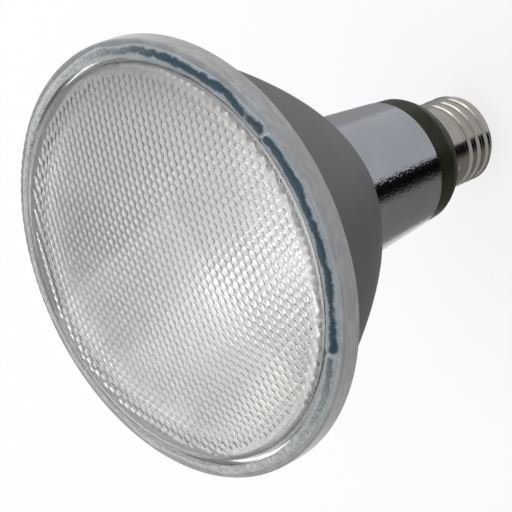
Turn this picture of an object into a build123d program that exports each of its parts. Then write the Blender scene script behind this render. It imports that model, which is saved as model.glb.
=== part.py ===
"""Glass reflector spotlight lamp on a skirted medium screw base.

Millimetres, +Z up along the lamp's axis, with the lens on top. The origin lies on the axis, in the plane
where the screw shell meets the underside of the insulating ring.
"""

from build123d import *

import math
import os

# Clearances
fit_gap = 0.05
slide_gap = 0.1

# Direction of the lead plane round the axis, in degrees: weld, ferrules and seal joint follow it
lead_angle = 230.0

# Screw shell: medium screw, 26 mm, seven threads to the inch
collar_radius = 13.15
collar_length = 4.6
thread_radius = 13.1
thread_depth = 0.75
thread_pitch = 25.4 / 7
thread_ridge_width = 2.5
thread_sink = 0.4
shell_wall = 0.3
shell_length = 18.5
shell_corner_radius = 0.9
shell_plain_end = 0.4
shell_mouth_radius = 10.4

# Contact end
insulator_depth = 4.0
insulator_nose_height = 4.0
insulator_nose_radius = 5.5
insulator_wall = 2.2
contact_radius = 4.7
contact_thickness = 0.8
contact_edge_radius = 0.35
contact_stem_radius = 1.5
contact_stem_length = 7.0
contact_solder_radius = 2.1
contact_solder_height = 0.7

# Insulating ring
ring_height = 12.9
ring_band_height = 6.3
ring_waist_radius = 18.4
ring_foot_radius = 13.9
ring_wall = 2.6
ring_spigot_height = 4.0
ring_spigot_depth = 4.0
ring_reveal = 0.2
ring_shoulder_bulge = 0.4

# Skirt
skirt_height = 29.7
skirt_foot_radius = 19.1
skirt_flare = 2.5
skirt_wall = 0.5
skirt_hem_radius = 0.45

# Reflector bowl
rim_radius = 60.5
bowl_depth = 58.0
rim_height = 5.8
rim_overhang = 3.5
rim_edge_radius = 0.7
rim_back_radius = 0.4
lip_width = 1.9
seat_depth = 3.4
ledge_width = 1.7
vertex_wall = 3.4
floor_wall = 4.9
neck_length = 22.0
neck_wall = 3.0
neck_root_radius = 2.0
cement_gap = 1.1
cement_margin = 1.5

# Lens
lens_edge_height = 4.1
lens_shoulder_height = 2.2
lens_shoulder_radius = 1.5
lens_shoulder_draft = 0.2
lens_flange_width = 2.7
lens_rise = 3.9
lens_wall = 2.4
lens_seat_ring = 1.3
lens_seat_draft = 0.5

# Rim seal
seal_width = 1.4
seal_lap = 1.3
seal_lap_height = 0.2
seal_crown = 0.35
seal_drop = 0.35
seal_break_width = 0.9
seal_second_break = 60.0

# Capsule and its mount
post_radius = 0.7
post_tail = 4.0
post_bend = 1.1
ferrule_radius = 2.0
ferrule_flange_radius = 3.4
ferrule_flange_height = 0.7
ferrule_stand = 0.7
ferrule_margin = 0.2
pinch_stand = 1.6
pinch_width = 8.8
pinch_depth = 3.2
pinch_height = 6.0
pinch_edge_radius = 0.7
capsule_radius = 5.5
capsule_wall = 0.9
capsule_length = 14.0
capsule_shoulder = 2.0
capsule_tip_radius = 1.2
capsule_tip_height = 1.8
foil_width = 2.2
foil_thickness = 0.2
foil_spacing = 4.4
filament_wire_radius = 0.16
filament_leg_radius = 0.22
coil_radius = 1.1
coil_pitch = 0.75
coil_half_turns = 15
coil_lift = 1.2

# Lead wires
lead_radius = 0.45
lead_bend = 1.6
weld_radius = 0.9
weld_drop = 2.2
weld_sink = 0.03

# Alignments of round stock: standing on a height, or hung below it
stood = (Align.CENTER, Align.CENTER, Align.MIN)
hung = (Align.CENTER, Align.CENTER, Align.MAX)

# Heights and radii worked out from the sizes above
skirt_top_z = ring_height + skirt_height
skirt_top_radius = skirt_foot_radius + skirt_flare
rim_top_z = skirt_top_z + bowl_depth
rim_back_z = rim_top_z - rim_height
seat_z = rim_top_z - seat_depth
thread_root_radius = thread_radius - thread_depth
shell_bore_radius = thread_root_radius - shell_wall
collar_bore_radius = collar_radius - shell_wall
nose_z = -shell_length - insulator_nose_height
contact_face_z = nose_z - contact_thickness

# The bowl's outer parabola passes through the skirt's top edge and the back of the rim
bowl_throat_radius = skirt_top_radius - skirt_wall - fit_gap
bowl_mouth_radius = rim_radius - rim_overhang
bowl_curve = (bowl_mouth_radius**2 - bowl_throat_radius**2) / (rim_back_z - skirt_top_z)
bowl_vertex_z = skirt_top_z - bowl_throat_radius**2 / bowl_curve

# The mirror parabola rises from its vertex to the inner edge of the lens seat
lens_edge_radius = rim_radius - lip_width - seal_width
mirror_mouth_radius = lens_edge_radius - ledge_width
mirror_vertex_z = bowl_vertex_z + vertex_wall
mirror_curve = mirror_mouth_radius**2 / (seat_z - mirror_vertex_z)
floor_z = mirror_vertex_z - floor_wall
neck_radius = skirt_foot_radius - skirt_wall - cement_gap
neck_bore_radius = neck_radius - neck_wall
neck_joint_z = bowl_vertex_z + neck_radius**2 / bowl_curve
neck_end_z = skirt_top_z - neck_length

# The lens is part of a spherical shell on a flange that stands on the seat
lens_flange_z = seat_z + lens_edge_height
lens_dome_z = lens_flange_z + lens_shoulder_height
lens_dome_radius = lens_edge_radius - lens_flange_width
lens_apex_z = lens_dome_z + lens_rise
lens_sphere_radius = (lens_dome_radius**2 + lens_rise**2) / (2 * lens_rise)
lens_centre_z = lens_apex_z - lens_sphere_radius

# The capsule stands on its two posts over the mirror's vertex, and their ferrules clear the neck's root
post_x = neck_bore_radius - neck_root_radius - ferrule_flange_radius - ferrule_margin
post_foot_z = mirror_vertex_z + post_x**2 / mirror_curve
post_end_z = floor_z - post_tail
post_run_z = post_foot_z + ferrule_stand + post_bend + fit_gap
pinch_z = post_run_z + pinch_stand
pinch_top_z = pinch_z + pinch_height
capsule_top_z = pinch_top_z + capsule_length
foil_x = foil_spacing / 2
cavity_z = pinch_top_z + capsule_wall
coil_z = cavity_z + coil_lift
coil_height = coil_half_turns * coil_pitch / 2


def revolved(*lines, rounds=()):
    """Turns a closed outline about the lamp's axis; rounds are (radius, height, round size) of corners."""
    section = make_face(Curve() + list(lines))
    for radius, height, size in rounds:
        corner = section.vertices().sort_by_distance((radius, 0, height))[0]
        section = fillet(corner, size)
    return revolve(section, Axis.Z)


def outline(*points):
    """Straight run through (radius, height) points in the XZ plane."""
    return Polyline(*[(radius, 0, height) for radius, height in points])


def bow(start, middle, end):
    """Arc through three (radius, height) points in the XZ plane."""
    return ThreePointArc(*[(radius, 0, height) for radius, height in (start, middle, end)])


def cap(edge_radius, edge_z, rise):
    """Arc of a spherical cap from its pole on the axis to its edge; a negative rise hangs down."""
    sphere_radius = (edge_radius**2 + rise**2) / (2 * abs(rise))
    centre_z = edge_z + rise - math.copysign(sphere_radius, rise)
    middle_z = centre_z + math.copysign(math.sqrt(sphere_radius**2 - edge_radius**2 / 4), rise)
    return bow((0, edge_z + rise), (edge_radius / 2, middle_z), (edge_radius, edge_z))


def parabola(vertex_z, curve, inner, outer):
    """Exact arc of the parabola radius^2 = curve * (height - vertex_z) between two radii."""
    ends = [(r, 0, vertex_z + r * r / curve) for r in (inner, outer)]
    knee = ((inner + outer) / 2, 0, vertex_z + inner * outer / curve)
    return Bezier(ends[0], knee, ends[1])


def lens_height(radius, depth):
    """Height of the lens shell at a radius, at a depth below its outer face."""
    return lens_centre_z + math.sqrt((lens_sphere_radius - depth) ** 2 - radius**2)


def dome_arc(radius, depth):
    """Arc of the lens shell from the axis out to a radius."""
    points = [(r, lens_height(r, depth)) for r in (0, radius / 2, radius)]
    return bow(*points)


def wire(points, radius, bend):
    """Round wire along (x, height) points in the lead plane, with rounded bends."""
    path = FilletPolyline(*[(x, 0, z) for x, z in points], radius=bend)
    section = Plane(origin=path @ 0, z_dir=path % 0) * Circle(radius)
    return sweep(section, path=path)


def turned_to_leads(shape):
    """Turns a shape from the XZ plane into the lead plane."""
    return Rot(0, 0, lead_angle) * shape


def helical_ridge(base_radius, width, height):
    """Round thread ridge wound on a cylinder, from the plain end of the shell up into its collar."""
    helix = Helix(
        pitch=thread_pitch,
        height=height,
        radius=base_radius,
        center=(0, 0, -shell_length - thread_pitch),
    )
    half = width / 2
    crest = ThreePointArc((0, -half), (thread_depth, 0), (0, half))
    root = Polyline((0, half), (-thread_sink, half), (-thread_sink, -half), (0, -half))
    section = Plane(origin=helix @ 0, x_dir=(1, 0, 0), z_dir=helix % 0) * make_face(Curve() + [crest, root])
    ridge = sweep(section, path=helix, is_frenet=True)
    threaded_length = shell_length - shell_corner_radius - shell_plain_end
    return ridge & Cylinder(2 * thread_radius, threaded_length, align=hung)


def shell_form(inset):
    """Solid screw form at a distance inside the shell's outer face: collar, thread and rounded end."""
    root = thread_root_radius - inset
    ridge_height = shell_length + thread_pitch - collar_length / 2
    core = Cylinder(root, shell_length - inset, align=hung)
    core = fillet(core.edges().sort_by(Axis.Z)[0], shell_corner_radius)
    # The core's seam lies across the axis from the ridge's upper end
    seam_angle = 360 * ridge_height / thread_pitch + 180
    form = Rot(0, 0, seam_angle) * core + helical_ridge(root, thread_ridge_width - inset, ridge_height)
    return form + Cylinder(collar_radius - inset, collar_length - inset, align=hung)


def weld_spot(radius):
    """Short round plug across the collar's wall, where the shell lead ends."""
    plug = Pos(collar_radius, 0, -weld_drop) * Rot(0, 90, 0) * Cylinder(radius, 4 * shell_wall)
    return turned_to_leads(plug)


def make_screw_shell():
    """Thin rolled shell: the thread shows inside as well as outside."""
    shell = shell_form(0) - shell_form(shell_wall)
    shell -= Pos(0, 0, -shell_length) * Cylinder(shell_mouth_radius, 2 * shell_wall + fit_gap)
    return shell - weld_spot(weld_radius)


def make_side_weld():
    """Flush weld in the collar, at the end of the shell lead."""
    wall = Cylinder(collar_radius - weld_sink, collar_length, align=hung)
    wall -= Cylinder(collar_bore_radius, collar_length, align=hung)
    return weld_spot(weld_radius - fit_gap) & wall


def make_base_insulator():
    """Black glass plug in the shell's end, dished inside, with a blunt nose that carries the contact."""
    body_radius = shell_bore_radius - slide_gap
    body_z = -shell_length + shell_wall
    throat_radius = shell_mouth_radius - slide_gap
    top_z = body_z + insulator_depth
    dish_radius = body_radius - insulator_wall
    dish_z = nose_z + insulator_wall
    stem_bore = contact_stem_radius + fit_gap
    return revolved(
        outline(
            (throat_radius, -shell_length),
            (throat_radius, body_z),
            (body_radius - shell_corner_radius, body_z),
            (body_radius, body_z + shell_corner_radius),
            (body_radius, top_z),
            (dish_radius, top_z),
            (insulator_nose_radius, dish_z),
            (stem_bore, dish_z),
            (stem_bore, nose_z),
            (insulator_nose_radius, nose_z),
        ),
        bow(
            (insulator_nose_radius, nose_z),
            ((throat_radius + insulator_nose_radius) / 2 + shell_wall, nose_z + insulator_nose_height * 0.4),
            (throat_radius, -shell_length),
        ),
    )


def make_centre_contact():
    """Brass eyelet: a rounded disc with a tubular stem through the glass."""
    rounded = contact_edge_radius
    wire_bore = lead_radius + fit_gap
    corner_mid = rounded * (1 - math.sqrt(0.5))
    return revolved(
        outline(
            (contact_radius, contact_face_z + rounded),
            (contact_radius, nose_z),
            (contact_stem_radius, nose_z),
            (contact_stem_radius, nose_z + contact_stem_length),
            (wire_bore, nose_z + contact_stem_length),
            (wire_bore, contact_face_z),
            (contact_radius - rounded, contact_face_z),
        ),
        bow(
            (contact_radius - rounded, contact_face_z),
            (contact_radius - corner_mid, contact_face_z + corner_mid),
            (contact_radius, contact_face_z + rounded),
        ),
    )


def make_contact_solder():
    """Low solder dome over the wire end on the contact's face."""
    tip_z = contact_face_z - contact_solder_height
    return revolved(
        cap(contact_solder_radius, contact_face_z, -contact_solder_height),
        outline((contact_solder_radius, contact_face_z), (0, contact_face_z), (0, tip_z)),
    )


def make_insulating_ring():
    """Moulded ring between skirt and shell: a straight band, a rounded shoulder, a spigot at either end."""
    band_z = ring_height - ring_band_height
    top_radius = skirt_foot_radius - ring_reveal
    upper_spigot = skirt_foot_radius - skirt_wall - slide_gap
    lower_spigot = collar_bore_radius - slide_gap
    top_z = ring_height + ring_spigot_height
    shoulder_mid = (
        (ring_waist_radius + ring_foot_radius) / 2 + ring_shoulder_bulge,
        band_z / 2 - ring_shoulder_bulge,
    )
    ring = revolved(
        outline(
            (ring_foot_radius, 0),
            (lower_spigot, 0),
            (lower_spigot, -ring_spigot_depth),
            (lower_spigot - ring_wall, -ring_spigot_depth),
            (lower_spigot - ring_wall, ring_wall),
            (ring_waist_radius - ring_wall, band_z),
            (upper_spigot - ring_wall, top_z),
            (upper_spigot, top_z),
            (upper_spigot, ring_height),
            (top_radius, ring_height),
            (ring_waist_radius, band_z),
        ),
        bow((ring_waist_radius, band_z), shoulder_mid, (ring_foot_radius, 0)),
    )
    notch_height = ring_spigot_depth - weld_drop + weld_radius
    notch_box = Box(4 * ring_wall, 2 * weld_radius, notch_height, align=stood)
    notch = Pos(lower_spigot, 0, -ring_spigot_depth) * notch_box
    return ring - turned_to_leads(notch)


def skirt_inner_radius(z):
    """Radius of the skirt's inner face at a height."""
    climb = (z - ring_height) / skirt_height
    return skirt_foot_radius - skirt_wall + climb * (skirt_top_radius - skirt_foot_radius)


def make_skirt():
    """Spun aluminium skirt, slightly flared, with a rounded hem at its foot."""
    hem = skirt_hem_radius
    hem_mid = hem * (1 - math.sqrt(0.5))
    return revolved(
        outline(
            (skirt_foot_radius, ring_height + hem),
            (skirt_top_radius, skirt_top_z),
            (skirt_top_radius - skirt_wall, skirt_top_z),
            (skirt_foot_radius - skirt_wall, ring_height),
            (skirt_foot_radius - hem, ring_height),
        ),
        bow(
            (skirt_foot_radius - hem, ring_height),
            (skirt_foot_radius - hem_mid, ring_height + hem_mid),
            (skirt_foot_radius, ring_height + hem),
        ),
    )


def make_basing_cement():
    """Cement ring that fills the space between the glass neck and the skirt."""
    low_z = neck_end_z + cement_margin
    high_z = neck_joint_z - cement_margin
    inner = neck_radius + fit_gap
    return revolved(
        outline(
            (inner, low_z),
            (skirt_inner_radius(low_z) - fit_gap, low_z),
            (skirt_inner_radius(high_z) - fit_gap, high_z),
            (inner, high_z),
            (inner, low_z),
        )
    )


def make_reflector():
    """Pressed glass bowl: mirror parabola inside, lens seat and lip at the rim, neck below."""
    lip_radius = rim_radius - lip_width
    mirror_edge = (mirror_mouth_radius, seat_z)
    bowl = revolved(
        parabola(mirror_vertex_z, mirror_curve, 0, mirror_mouth_radius),
        outline(
            mirror_edge,
            (lip_radius, seat_z),
            (lip_radius, rim_top_z),
            (rim_radius, rim_top_z),
            (rim_radius, rim_back_z),
            (bowl_mouth_radius, rim_back_z),
        ),
        parabola(bowl_vertex_z, bowl_curve, neck_radius, bowl_mouth_radius),
        outline(
            (neck_radius, neck_joint_z),
            (neck_radius, neck_end_z),
            (neck_bore_radius, neck_end_z),
            (neck_bore_radius, floor_z - neck_root_radius),
            (neck_bore_radius - neck_root_radius, floor_z),
            (0, floor_z),
            (0, mirror_vertex_z),
        ),
        rounds=((rim_radius, rim_top_z, rim_edge_radius), (rim_radius, rim_back_z, rim_back_radius)),
    )
    for x in (-post_x, post_x):
        hole = Pos(x, 0, mirror_vertex_z) * Cylinder(ferrule_radius + fit_gap, 4 * floor_wall)
        bowl -= turned_to_leads(hole)
    return bowl


def make_lens():
    """Pressed cover glass: spherical shell with a rounded shoulder, an edge flange and a seat ring."""
    flange_inner = lens_dome_radius + lens_shoulder_draft
    field_radius = lens_dome_radius - lens_seat_ring
    field_z = lens_height(field_radius, lens_wall)
    return revolved(
        dome_arc(lens_dome_radius, 0),
        outline(
            (lens_dome_radius, lens_dome_z),
            (flange_inner, lens_flange_z),
            (lens_edge_radius, lens_flange_z),
            (lens_edge_radius, seat_z),
            (field_radius + lens_seat_draft, seat_z),
            (field_radius, field_z),
        ),
        dome_arc(field_radius, lens_wall),
        outline((0, lens_apex_z - lens_wall), (0, lens_apex_z)),
        rounds=((lens_dome_radius, lens_dome_z, lens_shoulder_radius),),
    )


def make_rim_seal():
    """Adhesive bead round the lens edge, laid in two runs with a small break at either end."""
    inner = lens_edge_radius + fit_gap
    outer = rim_radius - lip_width - fit_gap
    low_z = seat_z + fit_gap
    lap_z = lens_flange_z + fit_gap
    lap_radius = lens_edge_radius - seal_lap
    lap_edge = (lap_radius, lap_z + seal_lap_height)
    crest = (inner, lap_z + seal_crown)
    lip_edge = (outer, rim_top_z - seal_drop)
    section = make_face(
        Curve()
        + [
            outline(lap_edge, (lap_radius, lap_z), (inner, lap_z), (inner, low_z), (outer, low_z), lip_edge),
            bow(lip_edge, crest, lap_edge),
        ]
    )
    break_turn = math.degrees(seal_break_width / lens_edge_radius)
    runs = []
    for start, stop in ((0, seal_second_break), (seal_second_break, 360)):
        turn = stop - start - break_turn
        run = revolve(Rot(0, 0, lead_angle + start + break_turn / 2) * section, Axis.Z, revolution_arc=turn)
        runs.append(run)
    return Compound(children=runs)


def make_ferrule(x):
    """Flanged metal bush, sealed in the bowl's floor round one post."""
    top_z = post_foot_z + ferrule_stand
    barrel = Cylinder(ferrule_radius, top_z - floor_z, align=stood)
    flange = Cylinder(ferrule_flange_radius, ferrule_flange_height, align=hung)
    bore = Cylinder(post_radius + fit_gap, 4 * (top_z - floor_z))
    return turned_to_leads(Pos(x, 0, floor_z) * (barrel + flange - bore))


def make_post(side):
    """Stiff mount wire: up through its ferrule, in over the mirror and up to the pinch."""
    points = [
        (side * post_x, post_end_z),
        (side * post_x, post_run_z),
        (side * foil_x, post_run_z),
        (side * foil_x, pinch_z),
    ]
    return turned_to_leads(wire(points, post_radius, post_bend))


def make_capsule():
    """Quartz halogen capsule: round bulb, flat pinch seal below, exhaust tip on top."""
    outer = capsule_radius
    inner = capsule_radius - capsule_wall
    throat = pinch_depth / 3
    dome_z = capsule_top_z - outer
    tip = capsule_tip_radius
    tip_z = dome_z + math.sqrt(outer**2 - tip**2)
    slant = math.sqrt(0.5)
    bulb = revolved(
        cap(tip, tip_z, capsule_tip_height),
        bow((tip, tip_z), (outer * slant, dome_z + outer * slant), (outer, dome_z)),
        outline(
            (outer, dome_z),
            (outer, pinch_top_z + capsule_shoulder),
            (outer - capsule_shoulder / 2, pinch_top_z),
            (throat, pinch_top_z - throat),
            (0, pinch_top_z - throat),
            (0, tip_z + capsule_tip_height),
        ),
    )
    cavity = revolved(
        cap(inner, dome_z, inner),
        outline(
            (inner, dome_z),
            (inner, cavity_z + capsule_shoulder),
            (inner - capsule_shoulder, cavity_z),
            (0, cavity_z),
            (0, dome_z + inner),
        ),
    )
    pinch = Pos(0, 0, pinch_z) * Box(pinch_width, pinch_depth, pinch_height, align=stood)
    pinch = fillet(pinch.edges().filter_by(Axis.Z), pinch_edge_radius)
    capsule = bulb + pinch - cavity
    for x in (-foil_x, foil_x):
        capsule -= foil(x, fit_gap)
    return turned_to_leads(capsule)


def foil(x, gap=0.0):
    """One seal foil, from the pinch's foot up to the bulb's floor, or the slot that it lies in."""
    strip = Box(foil_width + 2 * gap, foil_thickness + 2 * gap, cavity_z - pinch_z + 2 * gap, align=stood)
    return Pos(x, 0, pinch_z - gap) * strip


def make_filament():
    """Tungsten coil on the axis with thicker legs, one straight down and one back down beside the coil."""
    helix = Helix(pitch=coil_pitch, height=coil_height, radius=coil_radius, center=(0, 0, coil_z))
    section = Plane(origin=helix @ 0, z_dir=helix % 0) * Circle(filament_wire_radius)
    coil = sweep(section, path=helix, is_frenet=True)
    end_x = coil_radius * (-1) ** coil_half_turns
    top_z = coil_z + coil_height
    leg = filament_leg_radius
    near_leg = Pos(coil_radius, 0, cavity_z) * Cylinder(leg, coil_lift + leg, align=stood)
    far_x = math.copysign(foil_x, end_x)
    far_points = [(end_x - math.copysign(leg, end_x), top_z), (far_x, top_z), (far_x, cavity_z)]
    far_leg = wire(far_points, leg, coil_radius / 3)
    return turned_to_leads(coil + near_leg + far_leg)


def make_shell_lead():
    """Lead from one post down and out through the ring's notch to the weld in the collar."""
    points = [(post_x, post_end_z), (post_x, -weld_drop), (collar_bore_radius - fit_gap, -weld_drop)]
    return turned_to_leads(wire(points, lead_radius, lead_bend))


def make_contact_lead():
    """Lead from the other post to the axis and down through the contact's stem."""
    points = [
        (-post_x, post_end_z),
        (-post_x, ring_height + ring_spigot_height),
        (0, ring_wall),
        (0, contact_face_z),
    ]
    return turned_to_leads(wire(points, lead_radius, lead_bend))


def main():
    """Builds every piece and writes it to its own file."""
    pieces = {
        "screw_shell": make_screw_shell(),
        "side_weld": make_side_weld(),
        "base_insulator": make_base_insulator(),
        "centre_contact": make_centre_contact(),
        "contact_solder": make_contact_solder(),
        "insulating_ring": make_insulating_ring(),
        "skirt": make_skirt(),
        "basing_cement": make_basing_cement(),
        "reflector": make_reflector(),
        "lens": make_lens(),
        "rim_seal": make_rim_seal(),
        "ferrule_a": make_ferrule(post_x),
        "ferrule_b": make_ferrule(-post_x),
        "mount_post_a": make_post(1),
        "mount_post_b": make_post(-1),
        "capsule": make_capsule(),
        "seal_foil_a": turned_to_leads(foil(foil_x)),
        "seal_foil_b": turned_to_leads(foil(-foil_x)),
        "filament": make_filament(),
        "shell_lead": make_shell_lead(),
        "contact_lead": make_contact_lead(),
    }
    os.makedirs("parts", exist_ok=True)
    for name, shape in pieces.items():
        export_step(shape, f"parts/{name}.step")
        print(name, shape.is_valid, round(shape.volume, 2))


main()
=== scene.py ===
"""Dressed model of a glass reflector spotlight lamp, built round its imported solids.

Metres, +Z up along the lamp's axis, lens on top. Sizes in the classes are millimetres.
"""

import logging
import math
from collections.abc import Sequence
from dataclasses import dataclass, field
from enum import Enum

import bmesh
import bpy
from mathutils import Euler, Matrix, Vector, noise


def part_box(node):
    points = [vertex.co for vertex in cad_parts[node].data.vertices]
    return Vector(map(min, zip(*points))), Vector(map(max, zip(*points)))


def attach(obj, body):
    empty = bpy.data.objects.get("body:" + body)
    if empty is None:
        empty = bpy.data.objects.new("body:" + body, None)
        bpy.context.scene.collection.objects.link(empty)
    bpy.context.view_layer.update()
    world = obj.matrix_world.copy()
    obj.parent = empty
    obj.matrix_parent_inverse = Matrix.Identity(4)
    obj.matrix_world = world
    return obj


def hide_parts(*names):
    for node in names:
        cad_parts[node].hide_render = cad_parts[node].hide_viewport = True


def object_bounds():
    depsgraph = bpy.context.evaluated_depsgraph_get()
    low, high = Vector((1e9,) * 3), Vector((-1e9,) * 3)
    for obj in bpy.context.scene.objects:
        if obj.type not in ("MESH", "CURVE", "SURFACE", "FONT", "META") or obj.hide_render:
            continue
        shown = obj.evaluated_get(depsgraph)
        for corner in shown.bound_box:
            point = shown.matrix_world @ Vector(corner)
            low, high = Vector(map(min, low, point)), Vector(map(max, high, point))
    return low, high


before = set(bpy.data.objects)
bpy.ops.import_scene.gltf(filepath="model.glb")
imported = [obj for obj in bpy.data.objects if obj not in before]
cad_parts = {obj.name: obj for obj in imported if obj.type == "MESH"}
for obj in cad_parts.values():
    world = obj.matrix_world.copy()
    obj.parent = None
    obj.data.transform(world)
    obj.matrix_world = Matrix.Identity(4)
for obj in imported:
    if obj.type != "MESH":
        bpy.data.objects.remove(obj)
CAD_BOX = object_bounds()

MM = 0.001
FULL_TURN = 360.0
# Most of a noise's values lie in this span
NOISE_SPAN = (0.3, 0.7)

Point = tuple[float, float]
Colour = tuple[float, float, float]
Place = tuple[float, float, float]
Socket = bpy.types.NodeSocket
log = logging.getLogger("lamp")


class Sum(Enum):
    """Sums that a node does on one or two values."""

    ADD = "ADD"
    SUBTRACT = "SUBTRACT"
    MULTIPLY = "MULTIPLY"
    DIVIDE = "DIVIDE"
    SQUARE_ROOT = "SQRT"
    LARGER = "MAXIMUM"
    IS_ABOVE = "GREATER_THAN"
    COSINE = "COSINE"
    SINE = "SINE"
    ANGLE = "ARCTAN2"


class Ease(Enum):
    """How a value runs between the two ends of a span."""

    EVEN = "LINEAR"
    SOFT = "SMOOTHSTEP"


def millimetres(length: float) -> float:
    """Length of the frame in millimetres, to the micrometre."""
    return round(length / MM, 3)


def held(value: float) -> float:
    """Value held between 0 and 1."""
    return min(max(value, 0.0), 1.0)


def scaled(value: float, factors: Point) -> Point:
    """Value times each of two factors."""
    return value * factors[0], value * factors[1]


def tone(colour: Colour, factor: float) -> Colour:
    """Colour made lighter or darker by a factor, up to white."""
    return tuple(min(1.0, part * factor) for part in colour)


class Bench:
    """Mesh work at the bench: the operators that every piece is made with."""

    @staticmethod
    def clear() -> None:
        """Leaves edit mode and deselects every object."""
        active = bpy.context.view_layer.objects.active
        if active is not None and active.mode != "OBJECT":
            bpy.ops.object.mode_set(mode="OBJECT")
        bpy.ops.object.select_all(action="DESELECT")

    @staticmethod
    def edit(piece: bpy.types.Object) -> None:
        """Makes a piece the only one selected and opens it in edit mode.

        Args:
            piece: the piece to work on.
        """
        Bench.clear()
        bpy.context.view_layer.objects.active = piece
        piece.select_set(True)
        bpy.ops.object.mode_set(mode="EDIT")
        bpy.ops.mesh.select_mode(type="VERT")

    @staticmethod
    def close() -> None:
        """Goes back to object mode."""
        bpy.ops.object.mode_set(mode="OBJECT")

    @staticmethod
    def rounded(before: Point, corner: Point, after: Point, size: float, steps: int = 4) -> list[Point]:
        """Rounds one corner of an outline.

        Args:
            before: a point on the run that comes to the corner.
            corner: the sharp corner.
            after: a point on the run that leaves it.
            size: radius of the round, in millimetres.
            steps: number of facets.

        Returns:
            The points of the arc, from one run to the other.
        """
        tip = Vector(corner)
        arrive = (Vector(before) - tip).normalized()
        leave = (Vector(after) - tip).normalized()
        half = arrive.angle(leave) / 2
        centre = tip + (arrive + leave).normalized() * size / math.sin(half)
        start = tip + arrive * size / math.tan(half) - centre
        stop = tip + leave * size / math.tan(half) - centre
        arc = [start.slerp(stop, step / steps).normalized() for step in range(steps + 1)]
        return [tuple(centre + spoke * size) for spoke in arc]

    @staticmethod
    def profile(name: str, points: Sequence[Point]) -> bpy.types.Object:
        """Draws a chain of edges in the XZ plane.

        Args:
            name: name of the new piece.
            points: (radius, height) of each corner, in millimetres.

        Returns:
            The new piece, left in edit mode with all its corners selected.
        """
        Bench.clear()
        bpy.ops.mesh.primitive_plane_add(size=MM)
        piece = bpy.context.object
        piece.name = name
        piece.data.name = name
        bpy.ops.object.mode_set(mode="EDIT")
        bpy.ops.mesh.select_mode(type="VERT")
        bpy.ops.mesh.merge(type="CENTER")
        corners = [Vector((radius, 0.0, height)) * MM for radius, height in points]
        bpy.ops.transform.translate(value=corners[0])
        for here, there in zip(corners, corners[1:]):
            bpy.ops.mesh.extrude_region_move(TRANSFORM_OT_translate={"value": there - here})
        bpy.ops.mesh.select_all(action="SELECT")
        return piece

    @staticmethod
    def sweep(start: float, stop: float, steps: int) -> None:
        """Turns the selected outline about the axis.

        Args:
            start: angle from +X at which the sweep starts, in radians.
            stop: angle at which it ends.
            steps: number of facets round the axis.
        """
        bpy.ops.transform.rotate(value=-start, orient_axis="Z", center_override=(0, 0, 0))
        bpy.ops.mesh.spin(steps=steps, angle=start - stop, center=(0, 0, 0), axis=(0, 0, 1))

    @staticmethod
    def smooth(piece: bpy.types.Object, angle: float) -> None:
        """Shades a piece smooth, apart from its sharp edges.

        Args:
            piece: the piece to shade.
            angle: angle in degrees above which an edge is sharp.
        """
        Bench.clear()
        bpy.context.view_layer.objects.active = piece
        piece.select_set(True)
        bpy.ops.object.shade_smooth_by_angle(angle=math.radians(angle))

    @staticmethod
    def finish(piece: bpy.types.Object, material: bpy.types.Material, slot: str, node: str) -> None:
        """Gives a piece its material and its body, and hides the node that it stands for.

        Args:
            piece: the finished piece.
            material: what it is made of.
            slot: the record's material slot; not used.
            node: the solid that it replaces.
        """
        piece.data.materials.clear()
        piece.data.materials.append(material)
        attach(piece, "root")
        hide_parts(node)
        log.info("made %s, %d faces", piece.name, len(piece.data.polygons))


@dataclass(frozen=True)
class Grain:
    """One layer of noise in a finish, with its scale in cells a metre.

    Where wrap is given, the grain follows a turned wall: wrap holds the scales of the turn round the axis
    and of the height, and scale multiplies both.
    """

    scale: float
    detail: float = 3.0
    rough: float = 0.5
    wrap: Point | None = None


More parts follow.
